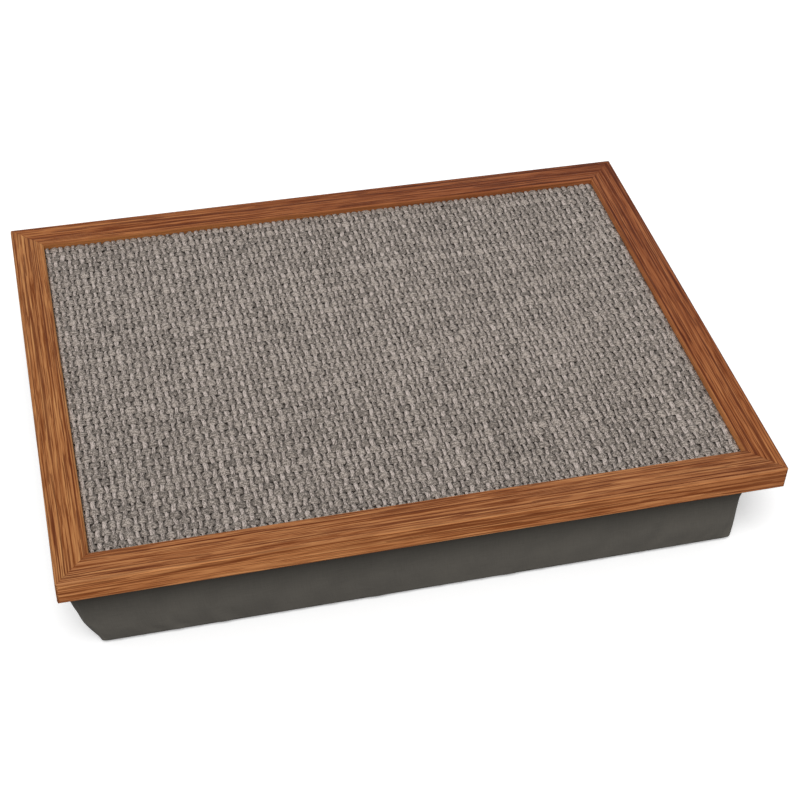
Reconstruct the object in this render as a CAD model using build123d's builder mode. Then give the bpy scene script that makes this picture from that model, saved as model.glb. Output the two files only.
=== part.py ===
from build123d import *
import math
import os

os.makedirs("parts", exist_ok=True)

# A lap tray: a mitred wooden frame round a woven surface on a board, held by hook and loop
# tape to a cushion full of beads. Millimetres, +Z up, front at -Y, and the origin at the
# middle of the cushion's flat underside.

# Overall sizes
tray_width = 440
tray_depth = 333
overall_height = 70

# Frame moulding
rail_width = 21
rail_height = 16
lip_width = 6
outer_top_radius = 1.5
outer_bottom_radius = 1.5
sight_edge_radius = 1.2
plan_corner_radius = 2

# Woven surface and board
mat_sink = 4
mat_thickness = 1.2
mat_clearance = 0.3
board_thickness = 6
board_clearance = 0.5

# V-shaped nails across the mitres, set by shares of the wood between outer face and rebate
nail_leg = 7
nail_thickness = 0.6
nail_height = 10
nail_setback_shares = (0.34, 0.66)

# Flat points that hold the board, placed by shares of their side's length
point_width = 6
point_length = 12
point_bite = 6
point_thickness = 0.5
long_side_point_shares = (-0.36, 0, 0.36)
short_side_point_shares = (-0.28, 0.28)
metal_clearance = 0.1

# Hook and loop tape
tape_width = 25
tape_thickness = 1.5
tape_corner_radius = 2
tape_inset = 35
long_tape_length = 300
short_tape_length = 200

# Cushion between its two seams, drawn in from the frame's outer faces at its corners
belly_setback_x = 13.5
belly_setback_y = 9
belly_corner_radius = 6
belly_bulge_depth = 2.5
belly_lean = -6

# Bottom seam, drawn in from the belly
seam_setback_x = 10.5
seam_setback_y = 2.5
seam_corner_radius = 2.5
seam_bulge_depth = 0.3
bottom_seam_height = 2.5
top_seam_drop = 4

# Cushion below its bottom seam, cut flat where it stands
foot_inset = 10
foot_corner_radius = 14
flat_cut = 0.5

# Cushion above its top seam
shoulder_clearance = 3
shoulder_corner_radius = 14
plateau_margin = 5
plateau_corner_radius = 20
dome_inset_share = 0.24
dome_corner_share = 0.144
cover_thickness = 1
soft_gap = 0.3

# Levels of the cushion between its seams, as shares: the height, then the growth from seam to
# belly, then the lean
side_shares = (
    (0, 0, 0),
    (0.1, 0.25, 0.1),
    (0.28, 0.55, 0.45),
    (0.55, 0.86, 0.84),
    (0.8, 0.97, 1),
    (1, 1, 1),
)
# Levels that round over an edge, below the bottom seam and above the top one
foot_steps = 3
crown_steps = 4

# One overrun for every cut that leaves through a face
cut_overrun = 1

# Heights and reaches that follow from the sizes
rail_top = overall_height
rail_bottom = rail_top - rail_height
mat_top = rail_top - mat_sink
board_top = mat_top - mat_thickness
board_bottom = board_top - board_thickness
top_seam_height = rail_bottom - top_seam_drop
plateau_height = board_bottom - 2 * tape_thickness - soft_gap
wood_width = rail_width - lip_width
recess_width = tray_width - 2 * wood_width
recess_depth = tray_depth - 2 * wood_width
belly_width = tray_width - 2 * belly_setback_x
belly_depth = tray_depth - 2 * belly_setback_y
seam_width = belly_width - 2 * seam_setback_x
seam_depth = belly_depth - 2 * seam_setback_y


# A straight moulding along the front of a frame, with its outer face a given distance from
# the middle, a lip over the board, mitred ends and softened corners
def moulding(length, distance):
    outer_y = -distance
    wall_y = outer_y + wood_width
    sight_y = outer_y + rail_width
    half_length = length / 2
    with BuildPart() as rail:
        with BuildSketch(Plane.YZ) as profile:
            with BuildLine():
                Polyline(
                    (outer_y, rail_bottom),
                    (wall_y, rail_bottom),
                    (wall_y, board_top),
                    (sight_y, board_top),
                    (sight_y, rail_top),
                    (outer_y, rail_top),
                    close=True,
                )
            make_face()
            fillet(profile.vertices().group_by(Axis.Y)[-1].sort_by(Axis.X)[0], outer_top_radius)
            fillet(profile.vertices().group_by(Axis.Y)[-1].sort_by(Axis.X)[-1], sight_edge_radius)
            fillet(profile.vertices().group_by(Axis.Y)[0].sort_by(Axis.X)[0], outer_bottom_radius)
        extrude(amount=half_length, both=True)
        with BuildSketch(Plane.XY.offset(rail_bottom - cut_overrun)):
            with BuildLine():
                Polyline(
                    (-half_length - cut_overrun, outer_y - cut_overrun),
                    (half_length + cut_overrun, outer_y - cut_overrun),
                    (half_length - rail_width - cut_overrun, sight_y + cut_overrun),
                    (rail_width + cut_overrun - half_length, sight_y + cut_overrun),
                    close=True,
                )
            make_face()
        extrude(amount=rail_height + 2 * cut_overrun, mode=Mode.INTERSECT)
        with BuildSketch(Plane.XY.offset(rail_bottom - cut_overrun)):
            square = plan_corner_radius + cut_overrun
            with Locations((plan_corner_radius - half_length, outer_y + plan_corner_radius)):
                Rectangle(square, square, align=(Align.MAX, Align.MAX))
                Circle(plan_corner_radius, mode=Mode.SUBTRACT)
            mirror(about=Plane.YZ)
        extrude(amount=rail_height + 2 * cut_overrun, mode=Mode.SUBTRACT)
    return rail.part


# The V-shaped nails of all four mitres, or with a gap and an overrun, the slots they sit in
def nail_forms(gap, overrun):
    with BuildPart() as nails:
        with BuildSketch(Plane.XY.offset(rail_bottom - overrun)):
            leg = nail_leg + 2 * gap
            web = nail_thickness + 2 * gap
            for share in nail_setback_shares:
                setback = share * wood_width - gap
                with Locations((setback - tray_width / 2, setback - tray_depth / 2)):
                    Rectangle(leg, web, align=(Align.MIN, Align.MIN))
                    Rectangle(web, leg, align=(Align.MIN, Align.MIN))
            mirror(about=Plane.YZ)
            mirror(about=Plane.XZ)
        extrude(amount=nail_height + gap + overrun)
    return nails.part


# Where the flat points cross the rebate's wall, and the turn that aims each at its rail
def point_places():
    places = []
    for side, turn in ((-1, 0), (1, 180)):
        for share in long_side_point_shares:
            places.append(Location((share * tray_width, side * recess_depth / 2, 0), (0, 0, turn)))
    for side, turn in ((-1, -90), (1, 90)):
        for share in short_side_point_shares:
            places.append(Location((side * recess_width / 2, share * tray_depth, 0), (0, 0, turn)))
    return places


# The flat points, or with a gap, the slots they sit in
def point_forms(gap):
    half_width = point_width / 2 + gap
    tip = -point_bite - gap
    inner_end = point_length - point_bite
    with BuildPart() as points:
        with BuildSketch(Plane.XY.offset(board_bottom - point_thickness - gap)):
            with Locations(*point_places()):
                Polygon(
                    (0, tip),
                    (half_width, tip + half_width),
                    (half_width, inner_end),
                    (-half_width, inner_end),
                    (-half_width, tip + half_width),
                    align=None,
                )
        extrude(amount=point_thickness + 2 * gap)
    return points.part


# One level of the cushion: a four-cornered outline whose sides bow out between the corners
def cushion_level(height, width, depth, corner, bulge, lean):
    half_width = width / 2
    half_depth = depth / 2
    flat_x = half_width - corner
    flat_y = half_depth - corner
    diagonal = corner * math.sqrt(0.5)
    with BuildSketch(Plane.XY.offset(height)) as level:
        with BuildLine():
            for side in (-1, 1):
                ThreePointArc(
                    (lean - flat_x, side * half_depth),
                    (lean, side * (half_depth + bulge)),
                    (lean + flat_x, side * half_depth),
                )
                ThreePointArc(
                    (lean + side * half_width, -flat_y),
                    (lean + side * (half_width + bulge), 0),
                    (lean + side * half_width, flat_y),
                )
                for end in (-1, 1):
                    ThreePointArc(
                        (lean + side * flat_x, end * half_depth),
                        (lean + side * (flat_x + diagonal), end * (flat_y + diagonal)),
                        (lean + side * half_width, end * flat_y),
                    )
        make_face()
    return level.sketch


# Levels from one outline to another along a quarter of an ellipse, upright at the first and
# flat at the second
def rounded_over(first, second, steps):
    levels = []
    for step in range(steps + 1):
        angle = step / steps * math.pi / 2
        climb = math.sin(angle)
        drawn_in = 1 - math.cos(angle)
        height = first[0] + climb * (second[0] - first[0])
        outline = [start + drawn_in * (end - start) for start, end in zip(first[1:], second[1:])]
        levels.append(cushion_level(height, *outline))
    return levels


# The outline at a seam or face, drawn in all round by the inset
def drawn_outline(height, width, depth, corner, bulge, lean, inset):
    return (height, width - 2 * inset, depth - 2 * inset, corner - inset, bulge, lean)


# The cushion below its bottom seam, drawn in by the inset
def foot_form(inset):
    foot_width = seam_width - 2 * foot_inset
    foot_depth = seam_depth - 2 * foot_inset
    seam = drawn_outline(
        bottom_seam_height,
        seam_width,
        seam_depth,
        seam_corner_radius,
        seam_bulge_depth,
        0,
        inset,
    )
    lowest = drawn_outline(
        inset - flat_cut,
        foot_width,
        foot_depth,
        foot_corner_radius,
        seam_bulge_depth,
        0,
        inset,
    )
    with BuildPart() as foot:
        loft(rounded_over(seam, lowest, foot_steps), ruled=True)
        split(bisect_by=Plane.XY.offset(inset), keep=Keep.TOP)
    return foot.part


# The cushion between its seams, drawn in by the inset
def side_form(inset):
    levels = []
    for height_share, growth_share, lean_share in side_shares:
        height = bottom_seam_height + height_share * (top_seam_height - bottom_seam_height)
        width = seam_width + growth_share * (belly_width - seam_width) - 2 * inset
        depth = seam_depth + growth_share * (belly_depth - seam_depth) - 2 * inset
        corner = seam_corner_radius + growth_share * (belly_corner_radius - seam_corner_radius) - inset
        bulge = seam_bulge_depth + growth_share * (belly_bulge_depth - seam_bulge_depth)
        levels.append(cushion_level(height, width, depth, corner, bulge, lean_share * belly_lean))
    with BuildPart() as side:
        loft(levels)
    return side.part


# The cushion above its top seam, drawn in by the inset: a shoulder under the rails, a flat
# for the tapes inside them and a low dome between the tapes
def crown_form(inset):
    shoulder_width = recess_width - 2 * shoulder_clearance
    shoulder_depth = recess_depth - 2 * shoulder_clearance
    plateau_width = tray_width - 2 * (tape_inset - plateau_margin)
    plateau_depth = tray_depth - 2 * (tape_inset - plateau_margin)
    dome_width = plateau_width - 2 * (tape_width + 2 * plateau_margin)
    dome_depth = plateau_depth - 2 * (tape_width + 2 * plateau_margin)
    dome_inset = dome_inset_share * dome_depth
    dome_corner_radius = dome_corner_share * dome_depth
    seam = drawn_outline(
        top_seam_height,
        belly_width,
        belly_depth,
        belly_corner_radius,
        belly_bulge_depth,
        belly_lean,
        inset,
    )
    shoulder = drawn_outline(
        rail_bottom - soft_gap - inset,
        shoulder_width,
        shoulder_depth,
        shoulder_corner_radius,
        seam_bulge_depth,
        0,
        inset,
    )
    plateau = drawn_outline(
        plateau_height - inset,
        plateau_width,
        plateau_depth,
        plateau_corner_radius,
        seam_bulge_depth,
        0,
        inset,
    )
    dome_edge = drawn_outline(
        plateau_height - inset,
        dome_width,
        dome_depth,
        dome_corner_radius,
        seam_bulge_depth,
        0,
        inset,
    )
    dome_top = drawn_outline(
        board_bottom - soft_gap - inset,
        dome_width - 2 * dome_inset,
        dome_depth - 2 * dome_inset,
        dome_corner_radius,
        seam_bulge_depth,
        0,
        inset,
    )
    with BuildPart() as crown:
        loft(rounded_over(seam, shoulder, crown_steps), ruled=True)
        loft(rounded_over(shoulder, plateau, crown_steps), ruled=True)
        loft(rounded_over(dome_edge, dome_top, crown_steps), ruled=True)
    return crown.part


# Rails, cut for their nails and points
nail_slots = nail_forms(metal_clearance, cut_overrun)
point_slots = point_forms(metal_clearance)
diagonal_plane = Plane(origin=(0, 0, 0), z_dir=(1, -1, 0))
long_moulding = moulding(tray_width, tray_depth / 2)
short_moulding = mirror(moulding(tray_depth, tray_width / 2), about=diagonal_plane)
rail_blanks = {
    "front": long_moulding,
    "back": mirror(long_moulding, about=Plane.XZ),
    "left": short_moulding,
    "right": mirror(short_moulding, about=Plane.YZ),
}
for side, blank in rail_blanks.items():
    with BuildPart() as rail:
        add(blank)
        add(nail_slots, mode=Mode.SUBTRACT)
        add(point_slots, mode=Mode.SUBTRACT)
    rail.part.label = f"rail_{side}"
    export_step(rail.part, f"parts/rail_{side}.step")

# Nails, two to a corner, flush with the rails' underside
with BuildPart() as corner_v_nails:
    add(nail_forms(0, 0))
corner_v_nails.part.label = "corner_v_nails"
export_step(corner_v_nails.part, "parts/corner_v_nails.step")

# Board, up against the rails' lip
with BuildPart() as tray_panel:
    with BuildSketch(Plane.XY.offset(board_bottom)):
        Rectangle(recess_width - 2 * board_clearance, recess_depth - 2 * board_clearance)
    extrude(amount=board_thickness)
tray_panel.part.label = "tray_panel"
export_step(tray_panel.part, "parts/tray_panel.step")

# Flat points under the board's edge
with BuildPart() as framers_points:
    add(point_forms(0))
framers_points.part.label = "framers_points"
export_step(framers_points.part, "parts/framers_points.step")

# Woven surface on the board, inside the rails' sight edge
with BuildPart() as woven_mat:
    with BuildSketch(Plane.XY.offset(board_top)):
        Rectangle(
            tray_width - 2 * (rail_width + mat_clearance),
            tray_depth - 2 * (rail_width + mat_clearance),
        )
    extrude(amount=mat_thickness)
woven_mat.part.label = "woven_mat"
export_step(woven_mat.part, "parts/woven_mat.step")

# Hook tape under the board and loop tape on the cushion, one pair to a side
tape_reach_x = tray_width / 2 - tape_inset - tape_width / 2
tape_reach_y = tray_depth / 2 - tape_inset - tape_width / 2
tape_places = {
    "front": (0, -tape_reach_y, long_tape_length, tape_width),
    "back": (0, tape_reach_y, long_tape_length, tape_width),
    "left": (-tape_reach_x, 0, tape_width, short_tape_length),
    "right": (tape_reach_x, 0, tape_width, short_tape_length),
}
tape_heights = {"hook": board_bottom - tape_thickness, "loop": plateau_height}
for kind, height in tape_heights.items():
    for side, (x, y, size_x, size_y) in tape_places.items():
        with BuildPart() as tape:
            with BuildSketch(Plane.XY.offset(height)):
                with Locations((x, y)):
                    RectangleRounded(size_x, size_y, tape_corner_radius)
            extrude(amount=tape_thickness)
        tape.part.label = f"{kind}_tape_{side}"
        export_step(tape.part, f"parts/{kind}_tape_{side}.step")

# Cushion cover in three cloth pieces, joined at its bottom and top seams
filling_foot = foot_form(cover_thickness)
filling_side = side_form(cover_thickness)
filling_crown = crown_form(cover_thickness)

with BuildPart() as cushion_bottom_panel:
    add(foot_form(0))
    add(filling_foot, mode=Mode.SUBTRACT)
cushion_bottom_panel.part.label = "cushion_bottom_panel"
export_step(cushion_bottom_panel.part, "parts/cushion_bottom_panel.step")

with BuildPart() as cushion_side_band:
    add(side_form(0))
    add(filling_side, mode=Mode.SUBTRACT)
cushion_side_band.part.label = "cushion_side_band"
export_step(cushion_side_band.part, "parts/cushion_side_band.step")

with BuildPart() as cushion_top_panel:
    add(crown_form(0))
    add(filling_crown, mode=Mode.SUBTRACT)
cushion_top_panel.part.label = "cushion_top_panel"
export_step(cushion_top_panel.part, "parts/cushion_top_panel.step")

# Beads, filling the cover
with BuildPart() as bead_filling:
    add(filling_foot)
    add(filling_side)
    add(filling_crown)
bead_filling.part.label = "bead_filling"
export_step(bead_filling.part, "parts/bead_filling.step")
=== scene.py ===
import math

import bpy
import numpy as np
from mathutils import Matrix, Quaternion, Vector


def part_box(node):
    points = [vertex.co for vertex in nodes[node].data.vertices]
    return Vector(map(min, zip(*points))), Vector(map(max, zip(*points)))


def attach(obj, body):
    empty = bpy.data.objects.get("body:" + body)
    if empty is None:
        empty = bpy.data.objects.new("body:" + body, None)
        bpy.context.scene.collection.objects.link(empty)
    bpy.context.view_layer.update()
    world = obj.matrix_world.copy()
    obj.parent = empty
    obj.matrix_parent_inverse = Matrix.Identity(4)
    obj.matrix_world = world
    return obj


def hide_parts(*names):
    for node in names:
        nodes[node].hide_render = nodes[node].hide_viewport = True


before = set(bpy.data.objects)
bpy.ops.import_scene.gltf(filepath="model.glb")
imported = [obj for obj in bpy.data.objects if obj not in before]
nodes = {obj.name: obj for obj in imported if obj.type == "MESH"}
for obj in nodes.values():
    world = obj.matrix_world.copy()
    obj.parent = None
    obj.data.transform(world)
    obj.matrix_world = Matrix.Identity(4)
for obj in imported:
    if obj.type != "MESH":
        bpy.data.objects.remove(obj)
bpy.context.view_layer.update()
mm = 0.001


# Boxes and colours

def nodeBox(name):
    # the low and the high corner of a CAD node
    low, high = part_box(name)
    return np.array(low), np.array(high)


def screenColour(red, green, blue):
    # 8-bit screen values to the linear colour that shaders take
    parts = np.array([red, green, blue]) / 255
    linear = np.where(parts <= 0.04045, parts / 12.92, ((parts + 0.055) / 1.055) ** 2.4)
    return (*linear.tolist(), 1)


def tintedColours(colours, tint):
    return {name: screenColour(*np.multiply(rgb, tint)) for name, rgb in colours.items()}


# Materials

def newMaterial(name):
    material = bpy.data.materials.new(name)
    material.use_nodes = True
    tree = material.node_tree
    return material, tree, tree.nodes["Principled BSDF"]


def addNode(tree, kind, inputs=None, **settings):
    # inputs maps a socket's name or number to a value, or to the socket that feeds it
    node = tree.nodes.new(kind)
    for key, value in settings.items():
        setattr(node, key, value)
    for key, value in (inputs or {}).items():
        if isinstance(value, bpy.types.NodeSocket):
            tree.links.new(value, node.inputs[key])
        else:
            node.inputs[key].default_value = value
    return node


def mathOf(tree, operation, first, second=0.0):
    return addNode(tree, "ShaderNodeMath", {0: first, 1: second}, operation=operation).outputs[0]


def weighed(tree, *parts):
    # the sum of (value, weight) pairs
    total = 0.0
    for value, weight in parts:
        inputs = {0: value, 1: weight, 2: total}
        total = addNode(tree, "ShaderNodeMath", inputs, operation="MULTIPLY_ADD").outputs[0]
    return total


def noiseOf(tree, vector, scale, detail=2.0, roughness=0.5, shift=(0, 0, 0)):
    # scale is in lumps per metre along each axis
    inputs = {"Vector": vector, "Scale": scale, "Location": shift}
    mapped = addNode(tree, "ShaderNodeMapping", inputs).outputs[0]
    inputs = {"Vector": mapped, "Scale": 1.0, "Detail": detail, "Roughness": roughness}
    return addNode(tree, "ShaderNodeTexNoise", inputs).outputs["Fac"]


def rangeOf(tree, value, fromLow, fromHigh, toLow=0.0, toHigh=1.0):
    inputs = {"Value": value, "From Min": fromLow, "From Max": fromHigh, "To Min": toLow, "To Max": toHigh}
    node = addNode(tree, "ShaderNodeMapRange", inputs, interpolation_type="SMOOTHSTEP")
    return node.outputs["Result"]


def roughOf(tree, noise, atLow, atHigh):
    # roughness over the range that a noise mostly covers
    return rangeOf(tree, noise, 0.3, 0.7, atLow, atHigh)


def rampOf(tree, factor, stops):
    # stops are pairs of a place from 0 to 1 and a colour
    node = addNode(tree, "ShaderNodeValToRGB", {"Fac": factor})
    while len(node.color_ramp.elements) < len(stops):
        node.color_ramp.elements.new(0.5)
    for element, (place, colour) in zip(node.color_ramp.elements, stops):
        element.position = place
        element.color = colour
    return node.outputs["Color"]


def mixColours(tree, factor, first, second):
    inputs = {"Factor": factor, 6: first, 7: second}
    return addNode(tree, "ShaderNodeMix", inputs, data_type="RGBA").outputs[2]


def laidOver(tree, colour, mask, share, cover):
    # cover hides the share of the colour where the mask is 1
    return mixColours(tree, mathOf(tree, "MULTIPLY", mask, share), colour, cover)


def vectorOf(tree, operation, first, second):
    return addNode(tree, "ShaderNodeVectorMath", {0: first, 1: second}, operation=operation).outputs[0]


def placeOf(tree):
    # the place on the piece in metres, from the shared frame's origin
    return addNode(tree, "ShaderNodeTexCoord").outputs["Object"]


def partsOf(tree, vector):
    return addNode(tree, "ShaderNodeSeparateXYZ", {0: vector}).outputs


def sineGrid(tree, vector, pitch):
    # the product of a sine wave along the first axis and one along the second
    parts = partsOf(tree, vector)
    turns = 2 * math.pi / pitch
    waves = [mathOf(tree, "SINE", mathOf(tree, "MULTIPLY", parts[axis], turns)) for axis in (0, 1)]
    return mathOf(tree, "MULTIPLY", *waves)


def bumpOf(tree, height, depth, strength=1.0):
    # depth is how far a full step of the height stands up, in metres
    inputs = {"Height": height, "Distance": depth, "Strength": strength}
    return addNode(tree, "ShaderNodeBump", inputs).outputs["Normal"]


def setShader(tree, shader, colour, roughness, normal, **values):
    tree.links.new(colour, shader.inputs["Base Color"])
    tree.links.new(roughness, shader.inputs["Roughness"])
    tree.links.new(normal, shader.inputs["Normal"])
    for name, value in values.items():
        shader.inputs[name.replace("_", " ")].default_value = value


def dress(piece, material):
    piece.data.materials.clear()
    piece.data.materials.append(material)


# Meshes

def addPiece(name, vertices, faces, material, body, uv=None, tone=None):
    # uv and tone hold one row for each vertex
    mesh = bpy.data.meshes.new(name)
    mesh.from_pydata(np.asarray(vertices).reshape(-1, 3).tolist(), [], faces)
    mesh.polygons.foreach_set("use_smooth", np.ones(len(mesh.polygons), bool))
    if uv is not None:
        corners = np.zeros(len(mesh.loops), int)
        mesh.loops.foreach_get("vertex_index", corners)
        layer = mesh.uv_layers.new(name="lay")
        layer.data.foreach_set("uv", np.asarray(uv).reshape(-1, 2)[corners].ravel())
    if tone is not None:
        mesh.attributes.new("tone", "FLOAT", "POINT").data.foreach_set("value", np.asarray(tone).ravel())
    mesh.update()
    piece = bpy.data.objects.new(name, mesh)
    bpy.context.scene.collection.objects.link(piece)
    dress(piece, material)
    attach(piece, body)
    return piece


def tubeFaces(tubes, rings, around):
    # quads between neighbouring rings of every tube, and a cap at each of its ends
    first = np.arange(tubes)[:, None, None] * rings * around
    ring = first + np.arange(rings - 1)[None, :, None] * around
    here = np.arange(around)[None, None, :]
    after = (here + 1) % around
    quads = np.stack([ring + here, ring + after, ring + around + after, ring + around + here], -1)
    ends = np.arange(around)
    startCaps = first[:, 0] + ends[::-1]
    endCaps = first[:, 0] + (rings - 1) * around + ends
    return quads.reshape(-1, 4).tolist() + startCaps.tolist() + endCaps.tolist()


# Camera, which stands where the photograph's perspective puts it

cameraSetup = {
    "lens": 74.99,  # mm
    "sensor": 36,  # mm
    "place": (-0.20197, -0.79782, 0.77542),
    "forward": (0.197252, 0.709324, -0.676721),
    "roll": 2.488,  # degrees
}


def placeCamera():
    data = bpy.data.cameras.new("view")
    data.lens = cameraSetup["lens"]
    data.sensor_width = cameraSetup["sensor"]
    camera = bpy.data.objects.new("view", data)
    camera.location = cameraSetup["place"]
    aim = Vector(cameraSetup["forward"]).to_track_quat("-Z", "Y")
    roll = Quaternion((0, 0, 1), math.radians(cameraSetup["roll"]))
    camera.rotation_euler = (aim @ roll).to_euler()
    bpy.context.scene.collection.objects.link(camera)
    bpy.context.scene.camera = camera


# Room: white floor, even light from all round and one soft lamp high at the front

roomSetup = {
    "floorSize": 12,  # m
    "floorDrop": 0.3 * mm,  # under the cushion's flat underside
    "roundLight": 0.5,
    "lampStrength": 1.71,
    "lampAngle": 32,  # degrees, how large the lamp looks
    "lampFrom": (-0.16, -0.44, 0.88),
    "floorBounce": 0.25,  # share of the light that the floor throws back at the tray
    "floorGlow": 0.24,  # lifts the seen floor to plain white
}


def lightRoom():
    scene = bpy.context.scene
    scene.view_settings.view_transform = "Standard"
    world = bpy.data.worlds.new("room")
    scene.world = world
    world.use_nodes = True
    tree = world.node_tree
    rays = addNode(tree, "ShaderNodeLightPath").outputs
    seen = mathOf(tree, "MAXIMUM", rays["Is Camera Ray"], rays["Is Glossy Ray"])
    seen = mathOf(tree, "MAXIMUM", seen, rays["Is Transmission Ray"])
    background = tree.nodes["Background"]
    background.inputs["Color"].default_value = (1, 1, 1, 1)
    strength = rangeOf(tree, seen, 0, 1, roomSetup["roundLight"], 1)
    tree.links.new(strength, background.inputs["Strength"])

    lamp = bpy.data.lights.new("lamp", "SUN")
    lamp.energy = roomSetup["lampStrength"]
    lamp.angle = math.radians(roomSetup["lampAngle"])
    lampObject = bpy.data.objects.new("lamp", lamp)
    lampObject.rotation_euler = Vector(roomSetup["lampFrom"]).to_track_quat("Z", "Y").to_euler()
    scene.collection.objects.link(lampObject)


def layFloor():
    material, tree, shader = newMaterial("floor")
    seen = addNode(tree, "ShaderNodeLightPath").outputs["Is Camera Ray"]
    grey = roomSetup["floorBounce"]
    colour = mixColours(tree, seen, (grey, grey, grey, 1), (1, 1, 1, 1))
    tree.links.new(colour, shader.inputs["Base Color"])
    tree.links.new(rangeOf(tree, seen, 0, 1, 0, roomSetup["floorGlow"]), shader.inputs["Emission Strength"])
    shader.inputs["Emission Color"].default_value = (1, 1, 1, 1)
    shader.inputs["Roughness"].default_value = 0.9
    shader.inputs["Specular IOR Level"].default_value = 0.0
    half = roomSetup["floorSize"] / 2
    height = -roomSetup["floorDrop"]
    mesh = bpy.data.meshes.new("floor")
    corners = [(-half, -half, height), (half, -half, height), (half, half, height), (-half, half, height)]
    mesh.from_pydata(corners, [], [(0, 1, 2, 3)])
    floor = bpy.data.objects.new("floor", mesh)
    bpy.context.scene.collection.objects.link(floor)
    dress(floor, material)


# Wooden rails. The grain runs on round the frame: every rail's material takes the way along the
# moulding, the way in from its outer face and the way down from its top, all in metres.

woodColours = {
    "dark": (114, 60, 24),
    "middle": (153, 97, 58),
    "light": (170, 114, 71),
    "golden": (190, 136, 88),
    "pore": (88, 37, 8),
}
# The rails in their order round the frame. fineness sets how fine a rail's streaks are, the next value
# how much painted light makes its inner wall lighter than its top, and edge what is painted along its
# outer edge: a golden painted highlight on the front and left rails, which face the lamp, and painted
# shade in the colour of the pores on the back and right rails.
railSetup = {
    "rail_front": {
        "turn": 0, "flip": (-1, 1, -1), "tint": (1.03, 1.015, 0.99),
        "fineness": 1.0, "wall": 0.3, "edge": ("golden", 0.3),
    },
    "rail_left": {
        "turn": 90, "flip": (1, 1, -1), "tint": (1.045, 1.045, 0.99),
        "fineness": 0.9, "wall": 0.3, "edge": ("golden", 0.2),
    },
    "rail_back": {
        "turn": 0, "flip": (1, -1, -1), "tint": (0.985, 0.915, 0.82),
        "fineness": 0.75, "wall": 0.0, "edge": ("pore", 0.45),
    },
    "rail_right": {
        "turn": -90, "flip": (1, 1, -1), "tint": (1.035, 0.99, 0.905),
        "fineness": 0.85, "wall": 0.6, "edge": ("pore", 0.45),
    },
}
# layers of the grain: lumps per metre along it and across it, detail, roughness and a shift
grainLayers = {
    "bands": (2.4, 150, 2.0, 0.5, (0, 0, 0)),
    "ringField": (1.6, 60, 1.0, 0.4, (1, 3, 2)),
    "streaks": (8, 800, 2.0, 0.6, (0, 0, 0)),
    "fibres": (60, 1500, 2.0, 0.5, (0, 0, 0)),
    "darkStreaks": (7, 640, 1.0, 0.5, (3, 5, 7)),
    "pores": (24, 1150, 1.0, 0.5, (9, 2, 4)),
    "breaks": (9, 200, 2.0, 0.6, (2, 8, 5)),
}
grainSetup = {
    "wanderLumps": (4, 26, 26),  # per metre
    "wander": (0, 2.6 * mm, 2.6 * mm),  # of the grain across its run
    "ringsInward": 340,  # ring lines per metre of the way in
    "ringsDown": 190,
    "ringWaves": 5.5,  # ring lines that the slow ring field shifts them by
    "gatherPlace": 0.47,  # of the rail's width, where the ring lines are fewest
    "toneShares": {"bands": 0.27, "streaks": 0.4, "fibres": 0.33},
    "darkShare": 0.72,  # how much of the wood under them dark streaks and pores hide
}
railEdges = {
    "outerRadius": 1.5 * mm,
    "sightRadius": 1.2 * mm,
    "railWidth": 21.0 * mm,
    "jointWidth": 0.22 * mm,
    "jointShare": 0.75,
    # a painted shadow along the foot of an outer face: how high it reaches and how dark it gets
    "footShadowHeight": 1.1 * mm,
    "footShadowShare": 0.6,
    "sightShare": 0.3,  # of golden along the edge beside the woven surface
    "outerPlain": 0.15,  # of the middle tone over an outer face
    # painted light on the inner wall: the share of golden laid over it
    "paintedWallGolden": 0.6,
    "outerPaintedLight": 0.66,  # painted light: how much lighter an outer face is made than the top
    "backRightDarkening": (0.69, 0.575, 0.61, 1),  # share of the colour left round the back right corner
    "deepReach": (0.1, 0.44),  # m from that corner, where the darkening starts to fade and ends
}


def railShift(name, halfWidth, halfDepth, top):
    # where the way along starts, so that it reads the same on both sides of three mitres
    number = list(railSetup).index(name)
    along = (number + 1) * halfWidth - number * halfDepth
    return along, halfWidth if number % 2 else halfDepth, top


def grainNoise(tree, grain, layer, fineness=1.0):
    along, across, detail, roughness, shift = grainLayers[layer]
    scale = (along, across * fineness, across * fineness)
    return noiseOf(tree, grain, scale, detail, roughness, shift)


def edgeMask(tree, distance, radius):
    # 1 on a rounded edge, where the ways from its two faces add up to little
    return rangeOf(tree, distance, radius * 1.05, radius * 0.6)


def wanderingGrain(tree, turned):
    # the grain wanders slowly across its run
    inputs = {"Vector": turned, "Scale": grainSetup["wanderLumps"]}
    wander = addNode(tree, "ShaderNodeMapping", inputs).outputs[0]
    inputs = {"Vector": wander, "Scale": 1.0, "Detail": 2.0}
    wander = addNode(tree, "ShaderNodeTexNoise", inputs).outputs["Color"]
    wander = vectorOf(tree, "SUBTRACT", wander, (0.5, 0.5, 0.5))
    wander = vectorOf(tree, "MULTIPLY", wander, grainSetup["wander"])
    return vectorOf(tree, "ADD", turned, wander)


def ringLines(tree, grain, fromEdge):
    # broken dark lines that gather away from the rail's middle
    parts = partsOf(tree, grain)
    phase = weighed(tree, (parts[1], grainSetup["ringsInward"]), (parts[2], grainSetup["ringsDown"]),
                    (grainNoise(tree, grain, "ringField"), grainSetup["ringWaves"]))
    phase = mathOf(tree, "FRACT", phase)
    rising, falling = rangeOf(tree, phase, 0.68, 0.84), rangeOf(tree, phase, 1.0, 0.95)
    line = mathOf(tree, "MULTIPLY", rising, falling)
    broken = rangeOf(tree, grainNoise(tree, grain, "breaks"), 0.42, 0.58, 0.1, 1.0)
    middle = railEdges["railWidth"] * grainSetup["gatherPlace"]
    offMiddle = mathOf(tree, "ABSOLUTE", mathOf(tree, "SUBTRACT", fromEdge, middle))
    gathered = rangeOf(tree, offMiddle, 2 * mm, 6 * mm, 0.35, 1.0)
    return mathOf(tree, "MULTIPLY", mathOf(tree, "MULTIPLY", line, broken), gathered)


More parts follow.
